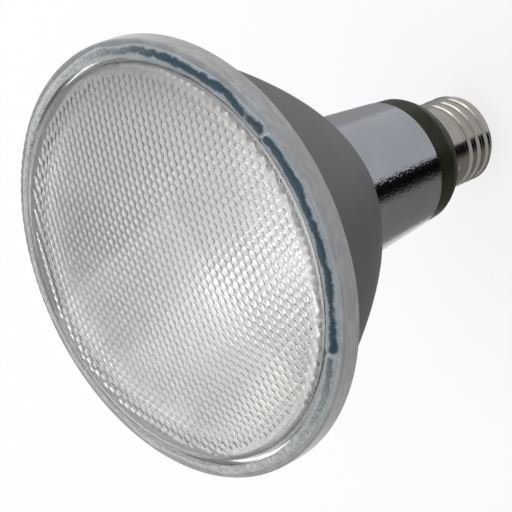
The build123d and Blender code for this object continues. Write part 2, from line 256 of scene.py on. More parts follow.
class NodeDesk:
    """Small desk for wiring one material's nodes."""

    def __init__(self, name: str) -> None:
        """Starts a material with one surface shader.

        Args:
            name: the material's name.
        """
        self.material = bpy.data.materials.new(name)
        self.material.use_nodes = True
        self.tree = self.material.node_tree
        self.shader = self.tree.nodes["Principled BSDF"]

    def feed(self, socket: Socket, value: object) -> None:
        """Links a socket to another one, or sets its own value.

        Args:
            socket: the socket to feed.
            value: another socket, or a value.
        """
        if isinstance(value, Socket):
            self.tree.links.new(value, socket)
        else:
            socket.default_value = value

    def put(self, kind: str, **inputs: object) -> bpy.types.Node:
        """Adds a node.

        Args:
            kind: the node's type name after "ShaderNode".
            inputs: values of its input sockets, with _ for a space, or properties of the node.

        Returns:
            The new node.
        """
        node = self.tree.nodes.new("ShaderNode" + kind)
        for key, value in inputs.items():
            if hasattr(node, key):
                setattr(node, key, value)
            else:
                self.feed(node.inputs[key.replace("_", " ")], value)
        return node

    def set(self, **values: object) -> None:
        """Sets or links sockets of the surface shader, with _ for a space in their names."""
        for key, value in values.items():
            self.feed(self.shader.inputs[key.replace("_", " ")], value)

    def place(self) -> Socket:
        """Object coordinates in metres."""
        return self.put("TexCoord").outputs["Object"]

    def axes(self) -> tuple[Socket, Socket, Socket]:
        """Object coordinates as three single sockets."""
        split = self.put("SeparateXYZ", Vector=self.place())
        return split.outputs["X"], split.outputs["Y"], split.outputs["Z"]

    def attribute(self, name: str) -> Socket:
        """Value that a piece's own mesh holds under a name."""
        return self.put("Attribute", attribute_name=name).outputs["Fac"]

    def sum(self, kind: Sum, first: float | Socket, second: float | Socket = 0.0) -> Socket:
        """Does one sum.

        Args:
            kind: the sum to do.
            first: a socket or number.
            second: another one, where the sum takes two.

        Returns:
            The result.
        """
        node = self.put("Math", operation=kind.value)
        for socket, value in zip(node.inputs, (first, second)):
            self.feed(socket, value)
        return node.outputs["Value"]

    def radius(self) -> Socket:
        """Measures the distance from the lamp's axis.

        Returns:
            The distance in metres.
        """
        across, along, _ = self.axes()
        squares = [self.sum(Sum.MULTIPLY, side, side) for side in (across, along)]
        return self.sum(Sum.SQUARE_ROOT, self.sum(Sum.ADD, *squares))

    def turned(self, wrap: Point) -> Socket:
        """Coordinates that follow a turned wall.

        Args:
            wrap: scale of the angle's cosine and sine, and scale of the height in metres.

        Returns:
            A vector socket.
        """
        across, along, height = self.axes()
        angle = self.sum(Sum.ANGLE, along, across)
        round_scale, height_scale = wrap
        vector = self.put(
            "CombineXYZ",
            X=self.sum(Sum.MULTIPLY, self.sum(Sum.COSINE, angle), round_scale),
            Y=self.sum(Sum.MULTIPLY, self.sum(Sum.SINE, angle), round_scale),
            Z=self.sum(Sum.MULTIPLY, height, height_scale),
        )
        return vector.outputs["Vector"]

    def grain(self, grain: Grain) -> Socket:
        """Adds one layer of noise.

        Args:
            grain: scale, detail, roughness and wrap of the noise.

        Returns:
            The noise's value, between 0 and 1.
        """
        place = self.turned(grain.wrap) if grain.wrap else self.place()
        node = self.put("TexNoise", Vector=place, Scale=grain.scale, Detail=grain.detail)
        self.feed(node.inputs["Roughness"], grain.rough)
        return node.outputs["Fac"]

    def ramp(self, value: Socket, span: Point, ends: Point = (0.0, 1.0), ease: Ease = Ease.EVEN) -> Socket:
        """Maps a value from one span to another and holds it at the ends.

        Args:
            value: the incoming value.
            span: incoming values at the two ends.
            ends: outgoing values at the two ends.
            ease: how the value runs between them.

        Returns:
            The mapped value.
        """
        node = self.put(
            "MapRange",
            interpolation_type=ease.value,
            Value=value,
            From_Min=span[0],
            From_Max=span[1],
            To_Min=ends[0],
            To_Max=ends[1],
        )
        return node.outputs["Result"]

    def colour(self, share: Socket, first: Colour | Socket, second: Colour | Socket) -> Socket:
        """Mixes two colours.

        Args:
            share: share of the second colour, from 0 to 1.
            first: first colour or socket.
            second: second colour or socket.

        Returns:
            The mixed colour.
        """
        node = self.put("Mix", data_type="RGBA", Factor=share)
        sockets = [socket for socket in node.inputs if socket.type == "RGBA"]
        for socket, value in zip(sockets, (first, second)):
            self.feed(socket, value if isinstance(value, Socket) else (*value, 1.0))
        return next(socket for socket in node.outputs if socket.type == "RGBA")

    def bump(self, height: Socket, depth: float, under: Socket | None = None) -> Socket:
        """Turns a height into a surface normal.

        Args:
            height: the height's value.
            depth: depth of a full step, in millimetres.
            under: a normal to add to.

        Returns:
            The new normal.
        """
        node = self.put("Bump", Height=height, Distance=depth * MM, Strength=1.0)
        if under is not None:
            self.feed(node.inputs["Normal"], under)
        return node.outputs["Normal"]

    def glow(self, share: float) -> None:
        """Lays a share of plain white over the surface, as camera, metal and glass see it.

        Args:
            share: share of white, from 0 to 1.
        """
        path = self.put("LightPath")
        seen = self.sum(Sum.LARGER, path.outputs["Is Camera Ray"], path.outputs["Is Glossy Ray"])
        seen = self.sum(Sum.LARGER, seen, path.outputs["Is Transmission Ray"])
        white = self.put("Emission", Color=(1.0, 1.0, 1.0, 1.0), Strength=1.0)
        mix = self.put("MixShader", Fac=self.sum(Sum.MULTIPLY, seen, share))
        shaders = (self.shader.outputs["BSDF"], white.outputs["Emission"])
        for socket, shader in zip(mix.inputs[1:], shaders):
            self.feed(socket, shader)
        self.feed(self.tree.nodes["Material Output"].inputs["Surface"], mix.outputs["Shader"])


@dataclass(frozen=True)
class PressedGlass:
    """Clear pressed glass with faint waves from its mould, and a satin shoulder where it has one."""

    name: str = "pressed_glass"
    tint: Colour = (0.995, 0.993, 0.988)
    wave_depth: float = 0.012
    waves: Grain = Grain(260.0, 2.0)
    stains: Grain = Grain(45.0)
    stain_tone: float = 0.98
    polish: Point = (0.04, 0.08)
    index: float = 1.5
    shoulder: Point | None = None
    satin: float = 0.38
    satin_edge: float = 0.3

    def make(self) -> bpy.types.Material:
        """Builds the material.

        Returns:
            The material.
        """
        desk = NodeDesk(self.name)
        stains = desk.grain(self.stains)
        polish = desk.ramp(stains, NOISE_SPAN, self.polish)
        desk.set(
            Base_Color=desk.colour(stains, self.tint, tone(self.tint, self.stain_tone)),
            Roughness=self.with_satin(desk, polish) if self.shoulder else polish,
            IOR=self.index,
            Transmission_Weight=1.0,
            Normal=desk.bump(desk.grain(self.waves), self.wave_depth),
        )
        return desk.material

    def with_satin(self, desk: NodeDesk, polish: Socket) -> Socket:
        """Adds the shoulder's satin to the polish of the glass.

        Args:
            desk: desk of this material.
            polish: roughness of the plain glass.

        Returns:
            The roughness with the satin band.
        """
        inner, outer = (radius * MM for radius in self.shoulder)
        edge = self.satin_edge * MM
        reach = desk.radius()
        rise = desk.ramp(reach, (inner, inner + edge), (0.0, self.satin))
        fall = desk.ramp(reach, (outer, outer + edge), (1.0, 0.0))
        return desk.sum(Sum.ADD, polish, desk.sum(Sum.MULTIPLY, rise, fall))


@dataclass(frozen=True)
class CoatedBowl:
    """Glass bowl: mirror inside, matt grey coat outside, bare frosted glass at the rim."""

    name: str = "coated_bowl"
    mirror: Colour = (0.93, 0.925, 0.915)
    mirror_rough: float = 0.22
    coat: Colour = (0.062, 0.064, 0.069)
    coat_rough: float = 0.6
    glass: Colour = (0.24, 0.242, 0.245)
    glass_rough: float = 0.2
    outer_vertex: float = 34.37
    outer_curve: float = 53.75
    inner_vertex: float = 37.77
    inner_curve: float = 51.83
    rim_start: float = 57.15
    ledge_z: float = 97.4
    rim_edge: Point = (-0.05, 0.1)
    speckles: Grain = Grain(900.0, 4.0, 0.6)
    speckle_depth: float = 0.008
    rough_spread: Point = (0.92, 1.08)
    clouds: Grain = Grain(60.0)
    cloud_tones: Point = (0.86, 1.14)
    dust_span: Point = (0.45, 0.75)
    dust_share: float = 0.5
    dust_tone: float = 1.35
    streaks: Grain = Grain(1.0, 3.0, 0.6, wrap=(14.0, 900.0))
    frost_span: Point = (0.35, 0.7)
    frost_tones: Point = (0.88, 1.12)

    def make(self) -> bpy.types.Material:
        """Builds the material.

        Returns:
            The material.
        """
        desk = NodeDesk(self.name)
        speckles = desk.grain(self.speckles)
        inside, rim = self.inside(desk), self.rim(desk)
        metal = desk.sum(Sum.MULTIPLY, inside, desk.sum(Sum.SUBTRACT, 1.0, rim))
        walls = desk.colour(inside, self.coat_colour(desk, speckles), self.mirror)
        desk.set(
            Base_Color=desk.colour(rim, walls, self.glass_colour(desk)),
            Metallic=metal,
            Roughness=self.roughness(desk, speckles, metal, rim),
            Normal=desk.bump(speckles, self.speckle_depth),
        )
        return desk.material

    def inside(self, desk: NodeDesk) -> Socket:
        """Tells the mirror side from the coat side by the parabola midway in the wall.

        Args:
            desk: desk of this material.

        Returns:
            1 on the mirror side, 0 on the coat side.
        """
        curve = (self.outer_curve + self.inner_curve) / 2
        vertex = (self.outer_vertex + self.inner_vertex) / 2
        reach = desk.radius()
        square = desk.sum(Sum.MULTIPLY, reach, reach)
        middle = desk.sum(Sum.ADD, desk.sum(Sum.MULTIPLY, square, 1 / (curve * MM)), vertex * MM)
        return desk.sum(Sum.IS_ABOVE, desk.axes()[2], middle)

    def rim(self, desk: NodeDesk) -> Socket:
        """Tells the rim from the bowl.

        Args:
            desk: desk of this material.

        Returns:
            1 outside the bowl's mouth or above the ledge, 0 elsewhere.
        """
        past_bowl = desk.sum(Sum.SUBTRACT, desk.radius(), self.rim_start * MM)
        past_ledge = desk.sum(Sum.SUBTRACT, desk.axes()[2], self.ledge_z * MM)
        low, high = self.rim_edge
        return desk.ramp(desk.sum(Sum.LARGER, past_bowl, past_ledge), (low * MM, high * MM))

    def coat_colour(self, desk: NodeDesk, speckles: Socket) -> Socket:
        """Mixes the colour of the clouded and dusty coat.

        Args:
            desk: desk of this material.
            speckles: noise of the coat.

        Returns:
            The colour.
        """
        clouds = desk.grain(self.clouds)
        clouded = desk.colour(clouds, *(tone(self.coat, part) for part in self.cloud_tones))
        dust = desk.ramp(speckles, self.dust_span, (0.0, self.dust_share))
        return desk.colour(dust, clouded, tone(self.coat, self.dust_tone))

    def glass_colour(self, desk: NodeDesk) -> Socket:
        """Colour of the bare glass, frosted in streaks round the rim."""
        frost = desk.ramp(desk.grain(self.streaks), self.frost_span, ease=Ease.SOFT)
        return desk.colour(frost, *(tone(self.glass, part) for part in self.frost_tones))

    def roughness(self, desk: NodeDesk, speckles: Socket, metal: Socket, rim: Socket) -> Socket:
        """Roughness of coat, mirror and bare glass.

        Args:
            desk: desk of this material.
            speckles: noise of the coat.
            metal: where the mirror is.
            rim: where the bare glass is.

        Returns:
            The roughness.
        """
        rough = desk.ramp(speckles, NOISE_SPAN, scaled(self.coat_rough, self.rough_spread))
        for share, level in ((metal, self.mirror_rough), (rim, self.glass_rough)):
            change = desk.ramp(share, (0.0, 1.0), (1.0, level / self.coat_rough))
            rough = desk.sum(Sum.MULTIPLY, change, rough)
        return rough


@dataclass(frozen=True)
class SealBead:
    """Adhesive with a skin: dark blue-grey where thick, pale where thin, grey where it is clear."""

    name: str = "seal_bead"
    deep: Colour = (0.016, 0.036, 0.05)
    deep_tone: float = 2.4
    deep_span: Point = (0.4, 0.75)
    deep_share: float = 0.5
    thin: Colour = (0.27, 0.31, 0.335)
    brink: Colour = (0.46, 0.49, 0.51)
    brink_span: Point = (0.02, 0.45)
    clear: Colour = (0.4, 0.41, 0.41)
    clear_tones: Point = (0.6, 1.4)
    clouds: Grain = Grain(330.0, 4.0, 0.65)
    cloud_depth: float = 0.06
    ragged: float = 0.25
    core_span: Point = (0.5, 0.9)
    mottles: Grain = Grain(1100.0, 4.0, 0.75)
    mottle_span: Point = (0.35, 0.65)
    skin: Grain = Grain(900.0)
    skin_depth: float = 0.03
    skin_rough: Point = (0.2, 0.38)
    shine: float = 0.3

    def make(self) -> bpy.types.Material:
        """Builds the material from the bead's own thickness and tint.

        Returns:
            The material.
        """
        desk = NodeDesk(self.name)
        clouds = desk.grain(self.clouds)
        skin = desk.grain(self.skin)
        desk.set(
            Base_Color=desk.colour(desk.attribute("tint"), self.grey(desk), self.blue(desk, clouds)),
            Roughness=desk.ramp(skin, NOISE_SPAN, self.skin_rough),
            Specular_IOR_Level=self.shine,
            Normal=desk.bump(skin, self.skin_depth, desk.bump(clouds, self.cloud_depth)),
        )
        return desk.material

    def blue(self, desk: NodeDesk, clouds: Socket) -> Socket:
        """Colour of the tinted bead: a ragged dark core between pale toes.

        Args:
            desk: desk of this material.
            clouds: noise of the core.

        Returns:
            The colour.
        """
        thickness = desk.attribute("thickness")
        fray = desk.ramp(clouds, NOISE_SPAN, (-self.ragged, self.ragged))
        core = desk.ramp(desk.sum(Sum.ADD, thickness, fray), self.core_span, ease=Ease.SOFT)
        cloudy = desk.ramp(clouds, self.deep_span, (0.0, self.deep_share))
        deep = desk.colour(cloudy, self.deep, tone(self.deep, self.deep_tone))
        toes = desk.colour(desk.ramp(thickness, self.brink_span, (1.0, 0.0)), self.thin, self.brink)
        return desk.colour(core, toes, deep)

    def grey(self, desk: NodeDesk) -> Socket:
        """Colour of the clear bead, mottled by what lies under it."""
        mottle = desk.ramp(desk.grain(self.mottles), self.mottle_span)
        return desk.colour(mottle, *(tone(self.clear, part) for part in self.clear_tones))


@dataclass(frozen=True)
class SpunMetal:
    """Bright sheet metal with a fine ripple and turning marks round the axis."""

    name: str
    colour: Colour
    rough: float
    ripple_depth: float
    ripple_scale: float = 500.0
    ripple_detail: Point = (1.0, 0.4)
    marks: Grain = Grain(1.0, 2.0, wrap=(1.5, 4500.0))
    mark_depth: float = 0.004
    mark_span: Point = (0.25, 0.75)
    rough_spread: Point = (0.8, 1.3)
    stains: Grain = Grain(70.0, 4.0, 0.6)
    stain_span: Point = (0.35, 0.75)
    stain_tone: float = 0.9

    def make(self) -> bpy.types.Material:
        """Builds the material.

        Returns:
            The material.
        """
        desk = NodeDesk(self.name)
        ripple = desk.grain(Grain(self.ripple_scale, *self.ripple_detail))
        marks = desk.grain(self.marks)
        stains = desk.ramp(desk.grain(self.stains), self.stain_span)
        desk.set(
            Base_Color=desk.colour(stains, self.colour, tone(self.colour, self.stain_tone)),
            Metallic=1.0,
            Roughness=desk.ramp(marks, self.mark_span, scaled(self.rough, self.rough_spread)),
            Normal=desk.bump(marks, self.mark_depth, desk.bump(ripple, self.ripple_depth)),
        )
        return desk.material


@dataclass(frozen=True)
class GlossyMoulding:
    """Glossy dark moulded body with faint flow marks."""

    name: str
    colour: Colour
    flow_colour: Colour
    rough: float
    flow: Grain = Grain(140.0, 4.0, 0.6)
    flow_span: Point = (0.4, 0.7)
    rough_spread: Point = (0.8, 1.3)
    pores: Grain = Grain(1500.0, 2.0)
    pore_depth: float = 0.006
    shine: float = 0.1

    def make(self) -> bpy.types.Material:
        """Builds the material.

        Returns:
            The material.
        """
        desk = NodeDesk(self.name)
        flow = desk.grain(self.flow)
        desk.set(
            Base_Color=desk.colour(desk.ramp(flow, self.flow_span), self.colour, self.flow_colour),
            Roughness=desk.ramp(flow, NOISE_SPAN, scaled(self.rough, self.rough_spread)),
            Specular_IOR_Level=self.shine,
            Normal=desk.bump(desk.grain(self.pores), self.pore_depth),
        )
        return desk.material


@dataclass(frozen=True)
class DullPaste:
    """Dull mineral or solder surface with a coarse grain."""

    name: str
    colour: Colour
    metal: float
    rough: float
    lumps: Grain = Grain(700.0, 4.0, 0.6)
    lump_depth: float = 0.05
    lump_tones: Point = (0.75, 1.15)
    rough_spread: Point = (0.85, 1.15)

    def make(self) -> bpy.types.Material:
        """Builds the material.

        Returns:
            The material.
        """
        desk = NodeDesk(self.name)
        lumps = desk.grain(self.lumps)
        desk.set(
            Base_Color=desk.colour(lumps, *(tone(self.colour, part) for part in self.lump_tones)),
            Metallic=self.metal,
            Roughness=desk.ramp(lumps, NOISE_SPAN, scaled(self.rough, self.rough_spread)),
            Normal=desk.bump(lumps, self.lump_depth),
        )
        return desk.material


Finish = PressedGlass | CoatedBowl | SpunMetal | GlossyMoulding | DullPaste


@dataclass
class Lens:
    """Cover glass: a convex face, a stepped flange and a field of six-sided lenslets inside.

    Its edge, seat and apex are those of its solid, with a small gap over the seat.
    """

    gap: float = 0.05
    edge_height: float = 4.05
    flange_width: float = 2.7
    rise: float = 3.9
    wall: float = 2.4
    field_inset: float = 1.3
    seat_draft: float = 0.5
    shoulder_draft: float = 0.2
    shoulder_round: float = 1.5
    edge_round: float = 0.3
    crease_round: float = 0.15
    satin_width: float = 1.6
    rings: int = 26
    crease_angle: float = 33.0
    pitch: float = 2.44
    lattice_turn: float = 47.9
    sag: float = 0.34
    border_sag: float = 0.35
    fade: float = 2.2
    spare_columns: int = 4
    weld: float = 0.01
    edge_radius: float = field(init=False)
    seat_z: float = field(init=False)
    apex_z: float = field(init=False)

    def __post_init__(self) -> None:
        """Takes the edge, seat and apex from the solid."""
        low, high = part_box("lens")
        self.edge_radius = millimetres(high.x)
        self.seat_z = millimetres(low.z) + self.gap
        self.apex_z = millimetres(high.z)

    @property
    def flange_z(self) -> float:
        """Height of the flange's upper face."""
        return self.seat_z + self.edge_height

    @property
    def dome_radius(self) -> float:
        """Radius of the convex face's edge."""
        return self.edge_radius - self.flange_width

    @property
    def field_radius(self) -> float:
        """Radius of the lenslet field."""
        return self.dome_radius - self.field_inset

    def dome(self, radius: float, depth: float) -> float:
        """Height of the spherical shell at a radius and a depth below its outer face."""
        sphere = (self.dome_radius**2 + self.rise**2) / (2 * self.rise)
        return self.apex_z - sphere + math.sqrt((sphere - depth) ** 2 - radius**2)

    def body_profile(self) -> list[Point]:
        """Draws the outline from the foot of the seat wall round the flange and shoulder to the apex.

        Returns:
            (radius, height) of each corner.
        """
        corners = [
            (self.field_radius, self.dome(self.field_radius, self.wall)),
            (self.field_radius + self.seat_draft, self.seat_z),
            (self.edge_radius, self.seat_z),
            (self.edge_radius, self.flange_z),
            (self.dome_radius + self.shoulder_draft, self.flange_z),
            (self.dome_radius, self.dome(self.dome_radius, 0)),
            (self.field_radius, self.dome(self.field_radius, 0)),
        ]
        rounds = (self.edge_round, self.edge_round, self.edge_round, self.crease_round, self.shoulder_round)
        points = []
        for index, size in enumerate(rounds):
            points += Bench.rounded(*corners[index : index + 3], size)
        inner = points[-1][0]
        for ring in range(1, self.rings + 1):
            radius = inner * (1 - ring / self.rings)
            points.append((radius, self.dome(radius, 0)))
        return points

    def lenslet(self) -> bpy.types.Object:
        """Models one six-sided lenslet.

        Returns:
            A small cap that bulges down, with its corners at height 0.
        """
        corner = self.pitch / math.sqrt(3)
        Bench.clear()
        bpy.ops.mesh.primitive_circle_add(vertices=6, radius=corner * MM, fill_type="TRIFAN")
        piece = bpy.context.object
        piece.name = "lens_glass"
        piece.data.name = "lens_glass"
        Bench.edit(piece)
        bpy.ops.mesh.select_all(action="SELECT")
        bpy.ops.mesh.subdivide(number_cuts=1)
        Bench.close()
        ball = (corner**2 + self.sag**2) / (2 * self.sag)
        for vertex in piece.data.vertices:
            reach = vertex.co.xy.length / MM
            vertex.co.z = -(math.sqrt(ball**2 - reach**2) - (ball - self.sag)) * MM
        return piece

    def repeat(self, piece: bpy.types.Object) -> None:
        """Repeats the lenslet in slanting rows that cover more than the field, centred on the axis.

        Args:
            piece: one lenslet, which becomes the sheet.
        """
        along = Vector((self.pitch, 0.0, 0.0))
        across = Vector((self.pitch / 2, self.pitch * math.sqrt(0.75), 0.0))
        rows = 2 * math.ceil(self.field_radius / across.y)
        columns = rows + rows // 2 + self.spare_columns
        for count, step in ((columns, along), (rows, across)):
            array = piece.modifiers.new("array", "ARRAY")
            array.count = count
            array.use_relative_offset = False
            array.use_constant_offset = True
            array.constant_offset_displace = step * MM
            array.use_merge_vertices = True
            array.use_merge_vertices_cap = False
            array.merge_threshold = self.weld * MM
            bpy.ops.object.modifier_apply(modifier=array.name)
        Bench.edit(piece)
        bpy.ops.mesh.select_all(action="SELECT")
        start = -(across * (rows // 2) + along * (columns // 2))
        bpy.ops.transform.translate(value=start * MM)
        bpy.ops.mesh.remove_doubles(threshold=self.weld * MM)
        bpy.ops.mesh.select_all(action="DESELECT")
        Bench.close()

    def trim(self, piece: bpy.types.Object) -> None:
        """Deletes the facets that lie wholly outside the field.

        Args:
            piece: the sheet of lenslets.
        """
        limit = self.field_radius * MM
        beyond = [vertex.co.xy.length > limit for vertex in piece.data.vertices]
        for face in piece.data.polygons:
            face.select = all(beyond[index] for index in face.vertices)
        Bench.edit(piece)
        bpy.ops.mesh.select_mode(type="FACE")
        bpy.ops.mesh.delete(type="FACE")
        Bench.close()

    def lay(self, piece: bpy.types.Object) -> None:
        """Turns the field, draws its border in to a circle and lays it on the inner face.

        Args:
            piece: the sheet of lenslets.
        """
        turn = Matrix.Rotation(math.radians(self.lattice_turn), 4, "Z")
        limit = self.field_radius * MM
        for vertex in piece.data.vertices:
            place = turn @ vertex.co
            past = place.xy.length / limit
            if past > 1.0:
                place.xy /= past
            reach = place.xy.length / MM
            inward = min(1.0, (self.field_radius - reach) / self.fade)
            place.z *= self.border_sag + (1 - self.border_sag) * inward
            place.z += self.dome(reach, self.wall) * MM
            vertex.co = place

    def draw_body(self, glass: bpy.types.Object) -> None:
        """Draws the body out of the field's edge, ring by ring up to the apex.

        Args:
            glass: the field of lenslets, which becomes the closed lens.
        """
        Bench.edit(glass)
        bpy.ops.mesh.select_mode(type="EDGE")
        bpy.ops.mesh.select_all(action="DESELECT")
        sheet = bmesh.from_edit_mesh(glass.data)
        for edge in sheet.edges:
            edge.select_set(edge.is_boundary)
        for radius, height in self.body_profile():
            bpy.ops.mesh.extrude_edges_move()
            sheet = bmesh.from_edit_mesh(glass.data)
            for vertex in sheet.verts:
                if vertex.select:
                    ring = vertex.co.xy.normalized() * radius
                    vertex.co = Vector((ring.x, ring.y, height)) * MM
            bmesh.update_edit_mesh(glass.data)
        bpy.ops.mesh.merge(type="CENTER")
        bpy.ops.mesh.select_all(action="SELECT")
        bpy.ops.mesh.normals_make_consistent(inside=False)
        Bench.close()

    def build(self) -> None:
        """Makes the lenslet field, draws the body out of it and dresses the glass."""
        glass = self.lenslet()
        self.repeat(glass)
        self.trim(glass)
        self.lay(glass)
        self.draw_body(glass)
        Bench.smooth(glass, self.crease_angle)
        finish = PressedGlass(shoulder=(self.dome_radius - self.satin_width, self.dome_radius))
        Bench.finish(glass, finish.make(), "lens_glass", "lens")


@dataclass(frozen=True)
class Wave:
    """Smooth unevenness round the axis; height and length in millimetres, layer to tell waves apart."""

    height: float
    length: float
    layer: float

    def at(self, turn: float, radius: float) -> float:
        """Height of the wave, about its own height up or down.

        Args:
            turn: angle from +X in radians.
            radius: radius of the circle that it runs along.

        Returns:
            The height in millimetres.
        """
        place = Vector((math.cos(turn), math.sin(turn), 0.0)) * radius / self.length
        return 2 * self.height * noise.noise(place + Vector((0.0, 0.0, self.layer)))


@dataclass
class RimSeal:
    """Adhesive bead over the lens edge, laid by hand in two runs, each with a swollen end.

    It fills the gap between the lens edge and the bowl's lip, and laps over both.
    """

    lens: Lens
    lip_width: float = 1.9
    gap: float = 0.05
    inner_lap: float = 2.15
    outer_lap: float = 0.4
    crown: float = 0.52
    crest_power: float = 0.8
    fullness: float = 0.85
    facets: int = 10
    step: float = 0.45
    spans: tuple[Point, Point] = ((230.0, 290.0), (290.0, 590.0))
    break_width: float = 0.1
    end_round: float = 1.5
    tip_width: float = 0.35
    swelling: float = 0.55
    swelling_reach: float = 2.4
    swelling_lift: float = 0.35
    inset: float = 0.35
    inset_reach: float = 4.0
    inner_wave: Wave = Wave(0.14, 7.0, 1.0)
    outer_wave: Wave = Wave(0.32, 9.0, 3.0)
    crest_wave: Wave = Wave(0.2, 5.0, 4.0)
    core: float = 0.6
    core_half: float = 0.4
    core_wave: Wave = Wave(0.06, 6.0, 5.0)
    root_thickness: float = 0.3
    tint_ahead: float = 150.0
    tint_behind: float = 42.0
    tint_fade: float = 57.0
    clear_inset: float = 1.3
    clear_lift: float = 0.55
    crease_angle: float = 50.0
    weld: float = 0.01
    lip_radius: float = field(init=False)
    lip_z: float = field(init=False)

    def __post_init__(self) -> None:
        """Takes the lip from the bowl's solid."""
        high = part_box("reflector")[1]
        self.lip_radius = millimetres(high.x) - self.lip_width
        self.lip_z = millimetres(high.z)

    @property
    def inner_toe(self) -> float:
        """Radius of the bead's edge on the lens."""
        return self.lens.edge_radius - self.inner_lap

    @property
    def outer_toe(self) -> float:
        """Radius of the bead's edge on the lip."""
        return self.lip_radius + self.outer_lap

    def base(self, radius: float) -> float:
        """Height of what the bead lies on: lens flange, gap or lip."""
        share = (radius - self.lens.edge_radius) / (self.lip_radius - self.lens.edge_radius)
        return self.lens.flange_z + held(share) * (self.lip_z - self.lens.flange_z) + self.gap

    def hump(self, share: float) -> float:
        """Height of the bead's back, from 0 at either toe to 1 at its crest."""
        return math.sin(math.pi * held(share)) ** self.crest_power

    def section(self) -> list[Point]:
        """Draws the bead's closed outline: its back from toe to toe, then its root in the gap.

        Returns:
            (radius, height) of each corner.
        """
        back = []
        for facet in range(self.facets + 1):
            share = facet / self.facets
            radius = self.inner_toe + share * (self.outer_toe - self.inner_toe)
            back.append((radius, self.base(radius) + self.crown * self.hump(share)))
        inner, outer = self.lens.edge_radius + self.gap, self.lip_radius - self.gap
        foot = self.lens.seat_z
        return back + [(outer, self.lip_z), (outer, foot), (inner, foot), (inner, self.lens.flange_z)]

    def strength(self, turn: float) -> float:
        """Tells how deep the bead's colour is: full on the first run, fading to clear on the other.

        Args:
            turn: angle from +X in radians.

        Returns:
            The depth of colour, from 0 to 1.
        """
        ahead = (math.degrees(turn) - self.spans[0][0]) % FULL_TURN
        behind = FULL_TURN - ahead
        return held(max(self.tint_ahead - ahead, self.tint_behind - behind) / self.tint_fade)

    def rounding(self, ahead: float, behind: float) -> float:
        """Width and height that the rounded ends leave, from 0 at the tips to 1."""
        near = min(ahead, behind, self.end_round) / self.end_round
        return math.sqrt(near * (2 - near))

    def back(self, share: float, turn: float, ahead: float, behind: float) -> Vector:
        """Place of one point of the hand-laid back.

        Args:
            share: place across the back, 0 at the inner toe and 1 at the outer one.
            turn: angle from +X in radians.
            ahead: distance from the run's swollen end.
            behind: distance from its plain end.

        Returns:
            The point in millimetres.
        """
        edge = self.lens.edge_radius
        strength, rounding = self.strength(turn), self.rounding(ahead, behind)
        swell = self.swelling * math.exp(-(((ahead - self.swelling_reach) / self.swelling_reach) ** 2))
        inset = self.inset * math.exp(-behind / self.inset_reach)
        inner = self.inner_toe + self.clear_inset * (1 - strength) + self.inner_wave.at(turn, edge)
        outer = self.outer_toe - inset + swell + self.outer_wave.at(turn, edge)
        middle = (inner + outer) / 2
        narrowing = self.tip_width + (1 - self.tip_width) * rounding
        radius = middle + (inner + share * (outer - inner) - middle) * narrowing
        lift = self.crown * (self.fullness + self.crest_wave.at(turn, edge)) + self.swelling_lift * swell
        lift *= rounding * (self.clear_lift + (1 - self.clear_lift) * strength)
        height = self.base(radius) + lift * self.hump(share)
        return Vector((math.cos(turn) * radius, math.sin(turn) * radius, height))

    def lay(self, piece: bpy.types.Object, start: float, stop: float) -> None:
        """Moves the back of a straight-turned run into hand-laid waves, and notes its thickness and tint.

        Args:
            piece: the run.
            start: angle of its swollen end, in degrees.
            stop: angle of its plain end.
        """
        edge = self.lens.edge_radius
        thickness, tint = [], []
        for vertex in piece.data.vertices:
            place = vertex.co / MM
            radius, turn = place.xy.length, math.atan2(place.y, place.x)
            share = (radius - self.inner_toe) / (self.outer_toe - self.inner_toe)
            along = (math.degrees(turn) - start) % FULL_TURN
            ahead = math.radians(min(along, stop - start)) * edge
            behind = math.radians(max(stop - start - along, 0.0)) * edge
            level = self.root_thickness
            if abs(place.z - self.base(radius) - self.crown * self.hump(share)) < self.weld:
                vertex.co = self.back(share, turn, ahead, behind) * MM
                off = (share - self.core - self.core_wave.at(turn, edge)) / self.core_half
                level = math.exp(-(off**2)) * self.rounding(ahead, behind)
            thickness.append(level)
            strength = self.strength(turn)
            tint.append(strength * strength * (3 - 2 * strength))
        for name, values in (("thickness", thickness), ("tint", tint)):
            layer = piece.data.attributes.new(name, "FLOAT", "POINT")
            layer.data.foreach_set("value", values)

    def run(self, name: str, start: float, stop: float) -> bpy.types.Object:
        """Turns one run of the bead and lays it.

        Args:
            name: name of the run.
            start: angle of its swollen end, in degrees.
            stop: angle of its plain end.

        Returns:
            The run, closed at both ends.
        """
        edge = self.lens.edge_radius
        half = math.degrees(self.break_width / 2 / edge)
        start, stop = start + half, stop - half
        piece = Bench.profile(name, self.section())
        bpy.ops.mesh.select_all(action="DESELECT")
        Bench.close()
        for vertex in (piece.data.vertices[0], piece.data.vertices[-1]):
            vertex.select = True
        Bench.edit(piece)
        bpy.ops.mesh.edge_face_add()
        bpy.ops.mesh.select_all(action="SELECT")
        steps = round(math.radians(stop - start) * edge / self.step)
        Bench.sweep(math.radians(start), math.radians(stop), steps)
        bpy.ops.mesh.select_all(action="SELECT")
        bpy.ops.mesh.fill_holes(sides=0)
        bpy.ops.mesh.normals_make_consistent(inside=False)
        Bench.close()
        self.lay(piece, start, stop)
        return piece

    def build(self) -> None:
        """Makes both runs, joins them and dresses the bead."""
        runs = [self.run(f"seal_run_{index}", *span) for index, span in enumerate(self.spans)]
        Bench.clear()
        for piece in runs:
            piece.select_set(True)
        bead = runs[0]
        bpy.context.view_layer.objects.active = bead
        bpy.ops.object.join()
        bead.name = "seal_bead"
        Bench.smooth(bead, self.crease_angle)
        Bench.finish(bead, SealBead().make(), "rim_adhesive", "rim_seal")


